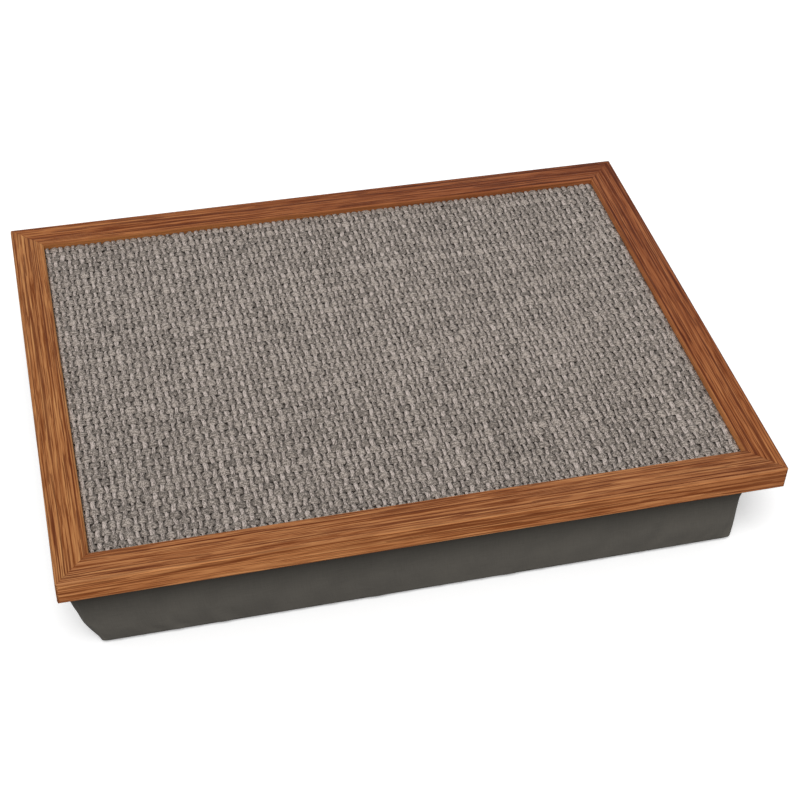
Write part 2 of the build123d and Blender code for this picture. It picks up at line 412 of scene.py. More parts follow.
def woodMaterial(name, halfWidth, halfDepth, top, height):
    setup = railSetup[name]
    fine = setup["fineness"]
    tinted = tintedColours(woodColours, setup["tint"])
    material, tree, shader = newMaterial(name + "_wood")
    place = placeOf(tree)
    turned = addNode(tree, "ShaderNodeMapping", {
        "Vector": place,
        "Scale": setup["flip"],
        "Rotation": (0, 0, math.radians(setup["turn"])),
        "Location": railShift(name, halfWidth, halfDepth, top),
    }).outputs[0]
    grain = wanderingGrain(tree, turned)
    turnedParts = partsOf(tree, turned)
    inward, down = turnedParts[1], turnedParts[2]
    fromEdge = mathOf(tree, "ADD", inward, down)
    fromSight = mathOf(tree, "SUBTRACT", railEdges["railWidth"], inward)

    shares = grainSetup["toneShares"]
    streaks = grainNoise(tree, grain, "streaks", fine)
    fibres = grainNoise(tree, grain, "fibres", fine)
    tone = weighed(tree, (grainNoise(tree, grain, "bands"), shares["bands"]),
                   (streaks, shares["streaks"]), (fibres, shares["fibres"]))
    colour = rampOf(tree, tone, [
        (0.41, tinted["dark"]),
        (0.47, tinted["middle"]),
        (0.53, tinted["light"]),
        (0.61, tinted["golden"]),
    ])

    # ring lines, long dark streaks and short open pores
    darkShare = grainSetup["darkShare"]
    darkStreaks = rangeOf(tree, grainNoise(tree, grain, "darkStreaks", fine), 0.59, 0.61)
    pores = rangeOf(tree, grainNoise(tree, grain, "pores", fine), 0.58, 0.595)
    colour = mixColours(tree, ringLines(tree, grain, fromEdge), colour, tinted["pore"])
    colour = laidOver(tree, colour, darkStreaks, darkShare, tinted["pore"])
    colour = laidOver(tree, colour, pores, darkShare, tinted["pore"])

    # rounded edges
    outerEdge = edgeMask(tree, fromEdge, railEdges["outerRadius"])
    sightEdge = edgeMask(tree, mathOf(tree, "ADD", fromSight, down), railEdges["sightRadius"])
    # painted light along the outer edge: a golden highlight on the front and left rails, painted shade in
    # pore colour on the back and right rails
    paintedEdgeColour, paintedEdgeShare = setup["edge"]
    colour = laidOver(tree, colour, sightEdge, railEdges["sightShare"], tinted["golden"])
    colour = laidOver(tree, colour, outerEdge, paintedEdgeShare, tinted[paintedEdgeColour])

    # mitre: a thin dark joint where the way to the rail's end equals the way in
    lengthwise = setup["turn"] == 0
    fromMiddle = mathOf(tree, "ABSOLUTE", partsOf(tree, place)[0 if lengthwise else 1])
    fromEnd = mathOf(tree, "SUBTRACT", halfWidth if lengthwise else halfDepth, fromMiddle)
    offMitre = mathOf(tree, "ABSOLUTE", mathOf(tree, "SUBTRACT", fromEnd, inward))
    joint = rangeOf(tree, offMitre, railEdges["jointWidth"], 0.0)
    colour = laidOver(tree, colour, joint, railEdges["jointShare"], tinted["pore"])

    # outer and inner faces, the outer one with a painted shadow in pore colour along its foot
    outerFace = rangeOf(tree, inward, 0.4 * mm, 0.0)
    foot = rangeOf(tree, down, height - railEdges["footShadowHeight"], height, 0.0, railEdges["footShadowShare"])
    colour = laidOver(tree, colour, outerFace, foot, tinted["pore"])
    colour = laidOver(tree, colour, outerFace, railEdges["outerPlain"], tinted["middle"])
    innerFace = rangeOf(tree, fromSight, 0.4 * mm, 0.1 * mm)
    innerFace = mathOf(tree, "MULTIPLY", innerFace, rangeOf(tree, down, 0.4 * mm, 1.2 * mm))
    # painted light: golden laid over the inner wall
    colour = laidOver(tree, colour, innerFace, railEdges["paintedWallGolden"], tinted["golden"])
    # painted light: the outer face and the inner wall are scaled lighter than the top
    paintedLight = weighed(tree, (outerFace, railEdges["outerPaintedLight"]), (innerFace, setup["wall"]))
    inputs = {0: colour, "Scale": mathOf(tree, "ADD", paintedLight, 1.0)}
    colour = addNode(tree, "ShaderNodeVectorMath", inputs, operation="SCALE").outputs[0]

    # the colour is darker towards the back right corner
    inputs = {0: place, 1: (halfWidth, halfDepth, top)}
    fromCorner = addNode(tree, "ShaderNodeVectorMath", inputs, operation="DISTANCE").outputs["Value"]
    near, far = railEdges["deepReach"]
    darkening = rangeOf(tree, fromCorner, far, near)
    deep = mixColours(tree, darkening, (1, 1, 1, 1), railEdges["backRightDarkening"])
    colour = vectorOf(tree, "MULTIPLY", colour, deep)

    roughness = roughOf(tree, streaks, 0.62, 0.46)
    relief = mathOf(tree, "SUBTRACT", fibres, mathOf(tree, "MULTIPLY", pores, 0.8))
    normal = bumpOf(tree, relief, 0.12 * mm, 0.6)
    setShader(tree, shader, colour, roughness, normal, Specular_IOR_Level=0.12)
    return material


def finishRails():
    low, high = nodeBox("rail_front")
    halfWidth, halfDepth, top = -nodeBox("rail_left")[0][0], -low[1], high[2]
    for name in railSetup:
        dress(nodes[name], woodMaterial(name, halfWidth, halfDepth, top, top - low[2]))
    print("rails finished")


# Woven surface: yarns front to back (columns) and left to right (rows) that pass over and under
# each other. A yarn's middle follows a steepened cosine wave, half a turn for each yarn it crosses.

weaveSetup = {
    "columns": 87,
    "rows": 55,
    "unevenness": 0.22,  # of a lane's width
    "halfThick": 0.5 * mm,
    "swing": 0.5 * mm,  # of a yarn's middle, up and down
    "yarnFoot": 0.7,  # of halfThick, from the middle of a low yarn down to the mat's foot
    "perCrossing": 5,  # rings for each yarn that is crossed
    "sectionPoints": 7,
    "sectionEnd": 25,  # degrees that a yarn's section goes below its widest place
    "sectionPower": 0.7,  # below 1 the section is flatter on top than a circle
    "steepness": 3.0,  # of the way between a yarn's high and low places
    "uvRadius": 1.6 * mm,  # makes a way in metres of the turn round a yarn
    "backingPoints": (101, 76),
    "backingLift": 0.02 * mm,
    "seed": 11,
}
# share is how much of its lane a yarn fills, and bias how long it stays up, from -1 to 1; painted shade
# lowers the tone in the hollows, a painted highlight raises it on the crowns, and painted shade lowers it
# towards a yarn's right side, as if the yarn were lit from its left
yarnSetup = {
    "column": {
        "share": 0.52, "bias": 0.45, "tint": (1.1, 1.085, 1.08),
        "hollowShade": 0.24, "crown": 0.12, "side": 0.15,
    },
    "row": {
        "share": 1.0, "bias": 0.0, "tint": (1.0, 0.985, 0.965),
        "hollowShade": 0.22, "crown": 0.1, "side": 0.0,
    },
}
# how much a yarn changes with its wave, with the lumps on its crossings and with its slow slubs
yarnChanges = {
    "width": {"wave": 0.1, "lumps": 0.06, "slubs": 0.12},
    "tone": {"yarn": 0.03, "lumps": 0.05, "slubs": 0.03, "shade": 0.025},
    "thickBySlubs": 0.15,
    "riseByLumps": 0.1 * mm,
    "sway": 0.13,  # of a lane's width
}
yarnWaves = {  # m
    "slubs": (0.083, 0.031, 0.0127),
    "sway": (0.057, 0.019, 0.0083),
    "shade": (0.37, 0.13),
}
weaveColours = {
    "dark": (60, 52, 46),
    "middle": (109, 101, 94),
    "light": (182, 172, 165),
    "backing": (84, 75, 68),
    "backingDark": (72, 63, 57),
}


def unevenLanes(random, count, start, length):
    # edges of lanes side by side, each a little wider or narrower than the next
    widths = 1 + weaveSetup["unevenness"] * random.uniform(-1, 1, count)
    edges = np.concatenate([[0], np.cumsum(widths)])
    return start + edges / edges[-1] * length


def slowWaves(random, along, count, lengths):
    # a sum of sine waves for each yarn, each with its own start
    waves = [np.sin(along[None, :] / length * 2 * np.pi + random.uniform(0, 2 * np.pi, (count, 1)))
             for length in lengths]
    return sum(waves) / len(waves)


def yarnSurface(random, lanes, crossed, startsOver, setup, lift):
    # Rings of half-round yarns that run along the crossed lanes. Returns the points as
    # (yarn, ring, section point, xyz) with the yarn's run as x, its uv and its tone.
    swing = weaveSetup["swing"]
    count = len(lanes) - 1
    crossings = len(crossed) - 1
    turns = np.linspace(0, crossings, crossings * weaveSetup["perCrossing"] + 1)
    along = np.interp(turns, np.arange(crossings + 1), crossed)
    nearest = np.clip(np.floor(turns).astype(int), 0, crossings - 1)
    closeness = np.sin((turns - nearest) * np.pi) ** 2  # 1 on a crossing, 0 between two
    parity = (np.arange(count)[:, None] + startsOver) % 2
    wave = np.cos(np.pi * (turns[None, :] - 0.5 + parity))
    steepness = weaveSetup["steepness"]
    wave = np.clip(np.tanh(steepness * (wave + setup["bias"])) / math.tanh(steepness), -1, 1)
    lumps = random.normal(0, 1, (count, crossings))[:, nearest] * closeness[None, :]
    slubs = slowWaves(random, along, count, yarnWaves["slubs"])

    laneWidth = np.diff(lanes)[:, None]
    wider = yarnChanges["width"]
    width = 1 + wider["wave"] * wave + wider["lumps"] * lumps + wider["slubs"] * slubs
    halfWidth = laneWidth * setup["share"] / 2 * width
    sway = laneWidth * yarnChanges["sway"] * slowWaves(random, along, count, yarnWaves["sway"])
    middle = (lanes[:-1, None] + lanes[1:, None]) / 2 + sway
    height = lift + swing * wave + yarnChanges["riseByLumps"] * lumps
    halfThick = weaveSetup["halfThick"] * (1 + yarnChanges["thickBySlubs"] * slubs)

    end = weaveSetup["sectionEnd"]
    angles = np.radians(np.linspace(-end, 180 + end, weaveSetup["sectionPoints"]))
    across = middle[..., None] + halfWidth[..., None] * np.cos(angles)
    section = np.sign(np.sin(angles)) * np.abs(np.sin(angles)) ** weaveSetup["sectionPower"]
    up = height[..., None] + halfThick[..., None] * section
    run = np.broadcast_to(along[None, :, None], across.shape)
    points = np.stack([run, across, up], -1)

    ownStart = random.uniform(0, 1, (count, 1, 1))
    roundWay = np.broadcast_to((angles - angles[0]) * weaveSetup["uvRadius"], run.shape)
    uv = np.stack([run + ownStart, roundWay + ownStart * 3], -1)
    shade = slowWaves(random, along, count, yarnWaves["shade"])
    toned = yarnChanges["tone"]
    tone = 0.5 + toned["yarn"] * random.normal(0, 1, (count, 1)) + toned["lumps"] * lumps
    tone = tone + toned["slubs"] * slubs + toned["shade"] * shade
    # painted shade: the tone falls where a yarn runs low
    hollowShade = np.clip((up - lift) / swing, -1, 1)
    # painted highlight: the tone rises on a yarn's crown
    crown = np.clip((up - lift - swing) / weaveSetup["halfThick"], 0, 1)
    tone = tone[..., None] + setup["hollowShade"] * hollowShade + setup["crown"] * crown ** 2
    # painted light: the tone falls towards a yarn's right side, as if lit from its left
    tone = tone - setup["side"] * np.cos(angles)
    return points, uv, tone


def yarnMaterial(name, tint):
    material, tree, shader = newMaterial(name)
    lay = addNode(tree, "ShaderNodeTexCoord").outputs
    tone = addNode(tree, "ShaderNodeAttribute", attribute_name="tone").outputs["Fac"]
    fibres = noiseOf(tree, lay["UV"], (380, 1500, 1), 2.0, 0.65)
    flecks = noiseOf(tree, lay["Object"], (1600, 700, 300), 1.0, 0.6, shift=(4, 8, 0))
    clouds = noiseOf(tree, lay["Object"], (11, 16, 1), 3.0, 0.6)
    value = weighed(tree, (fibres, 1.5), (flecks, 1.2), (clouds, 0.06), (tone, 1.0))
    value = mathOf(tree, "SUBTRACT", value, 1.572)  # brings the sum's mean back to the ramp's middle
    tinted = tintedColours(weaveColours, tint)
    colour = rampOf(tree, value, [
        (0.15, tinted["dark"]),
        (0.5, tinted["middle"]),
        (0.82, tinted["light"]),
    ])
    roughness = roughOf(tree, fibres, 0.62, 0.44)
    normal = bumpOf(tree, mathOf(tree, "ADD", fibres, flecks), 0.5 * mm)
    setShader(tree, shader, colour, roughness, normal, Specular_IOR_Level=0.5, Sheen_Weight=0.1)
    return material


def backingMaterial():
    material, tree, shader = newMaterial("weave_backing")
    lint = noiseOf(tree, placeOf(tree), (700, 700, 700), 3.0)
    colour = rampOf(tree, lint, [
        (0.3, screenColour(*weaveColours["backingDark"])),
        (0.7, screenColour(*weaveColours["backing"])),
    ])
    roughness = roughOf(tree, lint, 0.95, 0.8)
    setShader(tree, shader, colour, roughness, bumpOf(tree, lint, 0.2 * mm), Specular_IOR_Level=0.1)
    return material


def addYarns(low, high):
    random = np.random.default_rng(weaveSetup["seed"])
    columnLanes = unevenLanes(random, weaveSetup["columns"], low[0], high[0] - low[0])
    rowLanes = unevenLanes(random, weaveSetup["rows"], low[1], high[1] - low[1])
    lift = low[2] + weaveSetup["swing"] + weaveSetup["halfThick"] * weaveSetup["yarnFoot"]
    yarns = []
    halves = {
        "column": (columnLanes, rowLanes, 0, ("left", "right")),
        "row": (rowLanes, columnLanes, 1, ("front", "back")),
    }
    for name, (lanes, crossed, startsOver, sides) in halves.items():
        setup = yarnSetup[name]
        wool = yarnMaterial(name + "_yarn", setup["tint"])
        points, uv, tone = yarnSurface(random, lanes, crossed, startsOver, setup, lift)
        if name == "column":
            # the run becomes y, and the section turns to face out
            points = points[:, :, ::-1, [1, 0, 2]]
            uv, tone = uv[:, :, ::-1], tone[:, :, ::-1]
        half = len(points) // 2
        for side, part in zip(sides, (slice(0, half), slice(half, None))):
            faces = tubeFaces(*points[part].shape[:3])
            yarns.append(addPiece(f"{name}_yarns_{side}", points[part], faces, wool, "tray",
                                  uv[part], tone[part]))
    return yarns


def addWeave():
    low, high = nodeBox("woven_mat")
    yarns = addYarns(low, high)
    wide, deep = weaveSetup["backingPoints"]
    across, along = np.meshgrid(np.linspace(low[0], high[0], wide), np.linspace(low[1], high[1], deep))
    flat = np.stack([across, along, np.full_like(across, low[2] + weaveSetup["backingLift"])], -1)
    corner = (np.arange(deep - 1)[:, None] * wide + np.arange(wide - 1)).reshape(-1)
    faces = np.stack([corner, corner + 1, corner + wide + 1, corner + wide], -1).tolist()
    backing = addPiece("weave_backing", flat, faces, backingMaterial(), "tray")
    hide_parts("woven_mat")
    print("weave laid:", len(yarns), "pieces of yarn")


# Board, nails, points and tapes, which show once the tray is lifted off its cushion

tapeSides = ("front", "back", "left", "right")
tapeSetup = {
    "hookPitch": 1.7 * mm,
    "stitchLength": 2.7 * mm,
    "stitchPitch": 3.3 * mm,
    "stitchWidth": 0.55 * mm,
    "stitchRise": 0.22 * mm,  # of a stitch's middle over the tape
    "stitchFlatness": 0.7,  # its height as a share of its width
    "stitchTip": 0.12,  # least square of its radius at the ends, as a share
    "stitchInset": 2.2 * mm,
    "tapeCorner": 2 * mm,
    "stitchRings": 5,
    "stitchAround": 6,
}


def boardMaterial():
    # pressed wood fibre: a felt of short fibres under slow clouds
    material, tree, shader = newMaterial("fibreboard")
    place = placeOf(tree)
    felt = noiseOf(tree, place, (900, 900, 900), 4.0, 0.7)
    strands = noiseOf(tree, place, (240, 1300, 900), 2.0, 0.6)
    clouds = noiseOf(tree, place, (14, 14, 14), 3.0)
    tone = weighed(tree, (felt, 0.45), (strands, 0.3), (clouds, 0.25))
    colour = rampOf(tree, tone, [
        (0.4, screenColour(120, 88, 58)),
        (0.5, screenColour(150, 114, 80)),
        (0.6, screenColour(174, 139, 102)),
    ])
    roughness = roughOf(tree, felt, 0.85, 0.65)
    normal = bumpOf(tree, tone, 0.25 * mm, 0.8)
    setShader(tree, shader, colour, roughness, normal, Specular_IOR_Level=0.25)
    return material


def steelMaterial():
    # rolled strip: fine streaks along x under a dull grey film
    material, tree, shader = newMaterial("strip_steel")
    place = placeOf(tree)
    streaks = noiseOf(tree, place, (120, 3000, 3000), 3.0, 0.6)
    film = noiseOf(tree, place, (300, 300, 300), 3.0, 0.6)
    tone = weighed(tree, (streaks, 0.5), (film, 0.5))
    colour = rampOf(tree, tone, [(0.35, screenColour(132, 130, 127)), (0.6, screenColour(190, 190, 191))])
    roughness = roughOf(tree, film, 0.28, 0.5)
    setShader(tree, shader, colour, roughness, bumpOf(tree, streaks, 0.03 * mm, 0.6), Metallic=1.0)
    return material


def hookMaterial():
    # rows of small nylon hooks: a product of two sine waves, sharpened to separate heads
    material, tree, shader = newMaterial("hook_tape")
    place = placeOf(tree)
    wear = noiseOf(tree, place, (420, 420, 420), 3.0, 0.6)
    heads = rangeOf(tree, sineGrid(tree, place, tapeSetup["hookPitch"]), 0.1, 0.7)
    tone = weighed(tree, (heads, 0.5), (wear, 0.5))
    colour = rampOf(tree, tone, [
        (0.15, screenColour(17, 17, 18)),
        (0.45, screenColour(33, 33, 35)),
        (0.8, screenColour(66, 66, 69)),
    ])
    roughness = roughOf(tree, wear, 0.35, 0.6)
    normal = bumpOf(tree, heads, 0.6 * mm, 0.9)
    setShader(tree, shader, colour, roughness, normal, Specular_IOR_Level=0.5)
    return material


def loopMaterial(name, dark, light):
    # brushed loops: curled threads at two scales, with a soft sheen
    material, tree, shader = newMaterial(name)
    place = placeOf(tree)
    curls = noiseOf(tree, place, (1300, 1300, 1300), 4.0, 0.75)
    tufts = noiseOf(tree, place, (330, 330, 330), 2.0, 0.6, shift=(2, 6, 1))
    tone = weighed(tree, (curls, 0.6), (tufts, 0.4))
    colour = rampOf(tree, tone, [(0.38, screenColour(*dark)), (0.62, screenColour(*light))])
    roughness = roughOf(tree, tufts, 1.0, 0.85)
    normal = bumpOf(tree, tone, 0.7 * mm)
    setShader(tree, shader, colour, roughness, normal, Specular_IOR_Level=0.15, Sheen_Weight=0.35)
    return material


def stitchRow(low, high):
    # centres and headings of stitches round one tape, on a rectangle with round corners
    inset, corner = tapeSetup["stitchInset"], tapeSetup["tapeCorner"]
    middle = (low + high)[:2] / 2
    half = (high - low)[:2] / 2 - inset
    flat = half - corner
    quarter = corner * math.pi / 2
    lengths = np.array([2 * flat[0], quarter, 2 * flat[1], quarter] * 2)
    starts = np.concatenate([[0], np.cumsum(lengths)])
    count = round(starts[-1] / tapeSetup["stitchPitch"])
    run = (np.arange(count) + 0.5) / count * starts[-1]
    leg = np.clip(np.searchsorted(starts, run, side="right") - 1, 0, 7)
    done = run - starts[leg]
    turned = leg // 2 * math.pi / 2
    bend = np.where(leg % 2 == 1, done / corner, 0)
    heading = turned + bend
    cornerX = np.array([flat[0], flat[0], -flat[0], -flat[0]])[leg // 2]
    cornerY = np.array([-flat[1], flat[1], flat[1], -flat[1]])[leg // 2]
    back = np.where(leg % 2 == 0, lengths[leg] - done, 0)  # still to go to the side's end
    x = cornerX - back * np.cos(turned) + corner * np.sin(heading)
    y = cornerY - back * np.sin(turned) - corner * np.cos(heading)
    return np.stack([x, y], -1) + middle, heading


def addStitches():
    # a stitch is a tube whose middle rises as a half sine and whose radius falls off at its ends
    rings, around = tapeSetup["stitchRings"], tapeSetup["stitchAround"]
    share = np.linspace(0, 1, rings)
    angle = np.arange(around) / around * 2 * math.pi
    fullness = np.clip(1 - (2 * share - 1) ** 2, tapeSetup["stitchTip"], 1)
    radius = tapeSetup["stitchWidth"] / 2 * np.sqrt(fullness)
    along = (share - 0.5) * tapeSetup["stitchLength"]
    rise = tapeSetup["stitchRise"] * np.sin(share * math.pi)
    allPoints = []
    across = radius[:, None] * np.cos(angle)
    up = rise[:, None] + radius[:, None] * np.sin(angle) * tapeSetup["stitchFlatness"]
    run = np.broadcast_to(along[:, None], across.shape)
    for side in tapeSides:
        low, high = nodeBox("loop_tape_" + side)
        places, heading = stitchRow(low, high)
        turnCos, turnSin = np.cos(heading)[:, None, None], np.sin(heading)[:, None, None]
        x = places[:, 0, None, None] + run * turnCos - across * turnSin
        y = places[:, 1, None, None] + run * turnSin + across * turnCos
        z = np.broadcast_to(high[2] + up, x.shape)
        allPoints.append(np.stack([x, y, z], -1))
    points = np.concatenate(allPoints)
    faces = tubeFaces(len(points), rings, around)
    thread = loopMaterial("tape_thread", (34, 34, 36), (72, 72, 75))
    addPiece("tape_stitches", points, faces, thread, "cushion")
    print("stitches sewn:", len(points))


def finishHiddenParts():
    dress(nodes["tray_panel"], boardMaterial())
    steel = steelMaterial()
    dress(nodes["corner_v_nails"], steel)
    dress(nodes["framers_points"], steel)
    hooks, loops = hookMaterial(), loopMaterial("loop_tape", (15, 15, 16), (48, 48, 51))
    for side in tapeSides:
        dress(nodes["hook_tape_" + side], hooks)
        dress(nodes["loop_tape_" + side], loops)
    addStitches()


# Cushion: a closed form of outlines stacked from the middle of its underside to the middle of its
# top. An outline is a rectangle with round corners whose sides bow out as parabolas.

cushionSetup = {
    "longSide": 84,  # faces along a long side
    "shortSide": 64,
    "swell": 1.2 * mm,  # left for the air pressure
    "mostSwell": 2.2 * mm,
    "seamPull": 0.3 * mm,
    "standOut": (2.2 * mm, 0.2 * mm),  # of the cloth from its solid, across and front to back
    "sideStep": -0.4 * mm,
    "puckerPitch": 13 * mm,
    "puckerDepth": 0.22 * mm,
    "footInset": 10 * mm,
    "seamCorner": 2.5 * mm,
    "footCorner": 14 * mm,
    "bellyCorner": 6 * mm,
    "shoulderCorner": 14 * mm,
    "plateauCorner": 20 * mm,
    "middleCorner": 0.5 * mm,
    "shoulderRise": 3.4 * mm,  # over the top seam
    "shoulderInset": 2 * mm,  # from the board's edge
    "plateauDrop": 0.05 * mm,  # under the loop tapes
    "tapeMargin": 4 * mm,  # flat cloth beside the loop tapes
    "bellyBulge": 2.5 * mm,
    "seamBulge": 0.3 * mm,
    "middleInset": 70 * mm,  # where the stacked outlines end in a grid
    "frameShadeFrom": 20 * mm,  # height from which the painted shade under the frame grows darker upwards
    # how much of the dark cloth colour the painted shade under the frame lays on at the top seam
    "paintedFrameShade": 0.46,
    "threadPitch": 0.62 * mm,
    "seamCrease": 0.8,
    "simulatedFrames": 20,
    "uvSideShift": 0.7,  # m, keeps the cloth's weave apart on the four sides
    "uvEndShift": 3.1,
}
# how many outlines each stretch of the form has, both of its ends counted in
outlineCounts = {
    "underside": 10, "foot": 5, "side": 19, "shoulder": 6, "plateau": 6, "underTapes": 6, "dome": 10,
}
# from the bottom seam to the belly: height, growth and lean, as shares of the whole way
sideShares = np.array([
    (0, 0, 0), (0.1, 0.25, 0.1), (0.28, 0.55, 0.45),
    (0.55, 0.86, 0.84), (0.8, 0.97, 1), (1, 1, 1),
])


def sideRun(half, distance, corner, bulge, count):
    # one side of an outline, from the middle of one corner to the middle of the next, with its
    # points closer together towards the corners: the way from a corner grows as a power of 1.5
    flat = half - corner
    shares = np.linspace(-1, 1, count + 1)
    run = np.sign(shares) * (1 - (1 - np.abs(shares)) ** 1.5) * (flat + corner * math.pi / 4)
    reach = np.abs(run)
    angle = np.clip((reach - flat) / corner, 0, math.pi / 4)
    along = np.sign(run) * np.where(angle > 0, flat + corner * np.sin(angle), reach)
    bow = bulge * np.clip(1 - (reach / flat) ** 2, 0, 1)
    return run, along, distance + bow - corner * (1 - np.cos(angle))


def outlineRing(level, longSide, shortSide):
    # level is (height, half width, half depth, corner, bulge, lean); the ring runs anticlockwise
    height, halfWidth, halfDepth, corner, bulge, lean = level
    longRun, longAlong, longOut = sideRun(halfWidth, halfDepth, corner, bulge, longSide)
    shortRun, shortAlong, shortOut = sideRun(halfDepth, halfWidth, corner, bulge, shortSide)
    sides = [(longAlong, -longOut), (shortOut, shortAlong), (-longAlong, longOut), (-shortOut, -shortAlong)]
    ring = np.concatenate([np.stack(side, -1)[:-1] for side in sides])
    ring = np.concatenate([ring + (lean, 0), np.full((len(ring), 1), height)], -1)
    return ring, np.concatenate([longRun, shortRun, longRun, shortRun])


def eased(count):
    # shares from 0 to 1, closer together at both ends
    return (1 - np.cos(np.linspace(0, math.pi, count))) / 2


def between(first, second, shares):
    return [tuple(np.array(first) + share * (np.array(second) - np.array(first))) for share in shares]


def roundedOver(first, second, count):
    # a quarter of an ellipse from one outline to another, upright at the first and flat at the second
    levels = []
    for angle in np.linspace(0, math.pi / 2, count):
        drawnIn = 1 - math.cos(angle)
        level = np.array(first) + drawnIn * (np.array(second) - np.array(first))
        level[0] = first[0] + math.sin(angle) * (second[0] - first[0])
        levels.append(tuple(level))
    return levels


def smoothShare(share, column):
    # the mean of the table's curve at the share and a little to either side
    places = np.clip(share + np.array([-0.05, 0, 0.05]), 0, 1)
    return np.interp(places, sideShares[:, 0], sideShares[:, column]).mean()


def sideLevels(seam, belly, lean):
    levels = []
    for share in eased(outlineCounts["side"])[1:-1]:
        bow = math.sin(share * math.pi)
        level = np.array(seam) + smoothShare(share, 1) * (np.array(belly) - np.array(seam))
        level[0] = seam[0] + share * (belly[0] - seam[0])
        level[1:3] -= bow * cushionSetup["swell"]
        level[5] = smoothShare(share, 2) * lean + bow * cushionSetup["sideStep"]
        levels.append(tuple(level))
    return levels


def cushionLevels():
    # every outline from the middle of the underside to the middle of the top, and the two that are seams
    setup, counts = cushionSetup, outlineCounts
    footHigh = nodeBox("cushion_bottom_panel")[1]
    bandLow, bandHigh = nodeBox("cushion_side_band")
    boardHigh = nodeBox("tray_panel")[1]
    tapeLow, tapeHigh = nodeBox("loop_tape_left")
    tapeReach = np.array([-tapeLow[0], nodeBox("loop_tape_back")[1][1]])
    tapeInner = tapeReach - (tapeHigh - tapeLow)[0]
    seamHalf = footHigh[:2] - setup["seamBulge"] + setup["standOut"]
    bellyHalf = (bandHigh - bandLow)[:2] / 2 - setup["bellyBulge"] + setup["standOut"]
    lean = (bandHigh[0] + bandLow[0]) / 2

    def upright(height, half, corner):
        return (height, *half, corner, setup["seamBulge"], 0)

    seam = upright(footHigh[2], seamHalf, setup["seamCorner"])
    foot = upright(0, seamHalf - setup["footInset"], setup["footCorner"])
    belly = (bandHigh[2], *bellyHalf, setup["bellyCorner"], setup["bellyBulge"], lean)
    shoulder = upright(bandHigh[2] + setup["shoulderRise"], boardHigh[:2] - setup["shoulderInset"],
                       setup["shoulderCorner"])
    plateauHeight = nodeBox("loop_tape_front")[0][2] - setup["plateauDrop"]
    plateau = upright(plateauHeight, tapeReach + setup["tapeMargin"], setup["plateauCorner"])
    domeEdge = upright(plateauHeight, tapeInner - setup["tapeMargin"], setup["plateauCorner"])
    domeHalf, footHalf = tapeInner - setup["middleInset"], seamHalf - setup["middleInset"]
    domeTop = (nodeBox("cushion_top_panel")[1][2], *domeHalf, setup["middleCorner"], 0, 0)
    footMiddle = (0, *footHalf, setup["middleCorner"], 0, 0)

    side = sideLevels(seam, belly, lean)
    levels = between(footMiddle, foot, np.linspace(0, 1, counts["underside"])[:-1])
    levels += roundedOver(seam, foot, counts["foot"])[::-1]
    seams = [len(levels) - 1, len(levels) + len(side)]
    levels += side
    levels += roundedOver(belly, shoulder, counts["shoulder"])
    levels += roundedOver(shoulder, plateau, counts["plateau"])[1:]
    levels += between(plateau, domeEdge, np.linspace(0, 1, counts["underTapes"])[1:])
    dome = between(domeEdge, domeTop, np.linspace(0, 1, counts["dome"])[1:])
    rise = domeTop[0] - domeEdge[0]
    for step, level in enumerate(dome, 1):
        levels.append((domeEdge[0] + rise * math.sin(step / len(dome) * math.pi / 2), *level[1:]))
    return levels, seams


def cushionSurface():
    # vertices, faces, the uv of every face corner in metres along the cloth, and the two seam rings
    longSide, shortSide = cushionSetup["longSide"], cushionSetup["shortSide"]
    levels, seams = cushionLevels()
    built = [outlineRing(level, longSide, shortSide) for level in levels]
    rings = np.array([ring for ring, run in built])
    runs = np.array([run for ring, run in built])
    around = rings.shape[1]
    step = np.linalg.norm(np.diff(rings[:, longSide // 2], axis=0), axis=-1)
    climb = np.concatenate([[0], np.cumsum(step)])

    column = np.arange(around)
    after = (column + 1) % around
    ring = np.arange(len(levels) - 1)[:, None] * around
    quads = np.stack([ring + column, ring + after, ring + around + after, ring + around + column], -1)
    sideOf = np.repeat(np.arange(4), [longSide, shortSide, longSide, shortSide])
    runColumn = column + sideOf  # each side holds one more run value than it has faces
    low, high = runs[:-1], runs[1:]
    quadRun = np.stack([low[:, runColumn], low[:, runColumn + 1],
                        high[:, runColumn + 1], high[:, runColumn]], -1)
    quadRun = quadRun + sideOf[None, :, None] * cushionSetup["uvSideShift"]
    quadClimb = np.stack([climb[:-1], climb[:-1], climb[1:], climb[1:]], -1)[:, None, :]
    uv = np.stack([quadRun, np.broadcast_to(quadClimb, quadRun.shape)], -1).reshape(-1, 4, 2)
    vertices = [rings.reshape(-1, 3)]
    faces = [quads.reshape(-1, 4)]
    uvs = [uv]

    # a grid closes the first outline, and another the last one
    for levelIndex, upward in ((0, False), (len(levels) - 1, True)):
        border = levelIndex * around + np.arange(around)
        edge = rings[levelIndex]
        patch = np.zeros((shortSide + 1, longSide + 1), int)
        patch[0, :-1] = border[:longSide]
        patch[:-1, -1] = border[longSide:longSide + shortSide]
        patch[-1, 1:] = border[longSide + shortSide:2 * longSide + shortSide][::-1]
        patch[1:, 0] = border[2 * longSide + shortSide:][::-1]
        start = sum(len(part) for part in vertices)
        inner = np.arange((shortSide - 1) * (longSide - 1)).reshape(shortSide - 1, longSide - 1)
        patch[1:-1, 1:-1] = start + inner
        x = edge[1:longSide, 0]
        y = edge[longSide + 1:longSide + shortSide, 1]
        grid = np.stack([*np.meshgrid(x, y), np.full((len(y), len(x)), edge[0, 2])], -1)
        vertices.append(grid.reshape(-1, 3))
        corners = [patch[:-1, :-1], patch[:-1, 1:], patch[1:, 1:], patch[1:, :-1]]
        quads = np.stack(corners if upward else corners[::-1], -1).reshape(-1, 4)
        faces.append(quads)
        uvs.append(np.concatenate(vertices)[quads][..., :2] + (0, cushionSetup["uvEndShift"]))
    return np.concatenate(vertices), np.concatenate(faces), np.concatenate(uvs), seams, around, len(levels)


